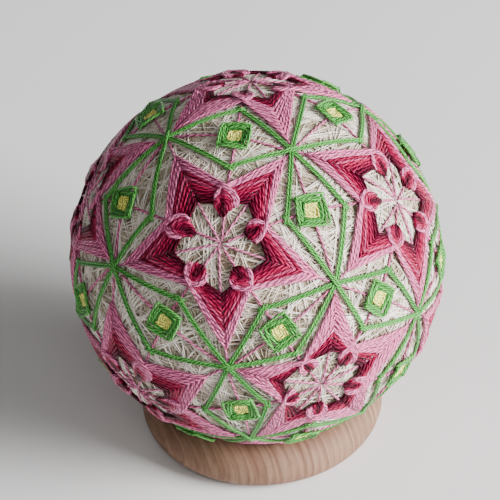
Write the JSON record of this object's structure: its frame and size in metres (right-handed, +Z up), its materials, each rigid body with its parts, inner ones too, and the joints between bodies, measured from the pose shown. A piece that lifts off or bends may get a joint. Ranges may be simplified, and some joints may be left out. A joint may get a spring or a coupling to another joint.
{
  "type": "temari ball on a wooden ring stand",
  "caption": "Round thread-wound ball embroidered with five-pointed stars, small squares and a rhombic net, sitting in a turned wooden ring.",
  "frame": {"origin": "on the surface it stands on, under the middle of the ring and of the ball", "axes": "+Z up through the middles of the ring and the ball, -Y towards the viewer of the picture"},
  "size_m": [0.0796, 0.0794, 0.0847],
  "materials": {
    "wound_thread": "matt wound thread",
    "star_thread": "soft sheen of twisted cotton",
    "square_thread": "soft sheen of twisted cotton",
    "net_thread": "soft sheen of twisted cotton",
    "ring_beech": "turned and sanded"
  },
  "bodies": {
    "root": {"wound_ball": "wound_thread", "star_01": "star_thread", "star_02": "star_thread", "star_03": "star_thread", "star_04": "star_thread", "star_05": "star_thread", "star_06": "star_thread", "star_07": "star_thread", "star_08": "star_thread", "star_09": "star_thread", "star_10": "star_thread", "star_11": "star_thread", "star_12": "star_thread", "square_01": "square_thread", "square_02": "square_thread", "square_03": "square_thread", "square_04": "square_thread", "square_05": "square_thread", "square_06": "square_thread", "square_07": "square_thread", "square_08": "square_thread", "square_09": "square_thread", "square_10": "square_thread", "square_11": "square_thread", "square_12": "square_thread", "square_13": "square_thread", "square_14": "square_thread", "square_15": "square_thread", "square_16": "square_thread", "square_17": "square_thread", "square_18": "square_thread", "square_19": "square_thread", "square_20": "square_thread", "square_21": "square_thread", "square_22": "square_thread", "square_23": "square_thread", "square_24": "square_thread", "square_25": "square_thread", "square_26": "square_thread", "square_27": "square_thread", "square_28": "square_thread", "square_29": "square_thread", "square_30": "square_thread", "green_net": "net_thread", "ring_stand": "ring_beech"}
  },
  "joints": []
}
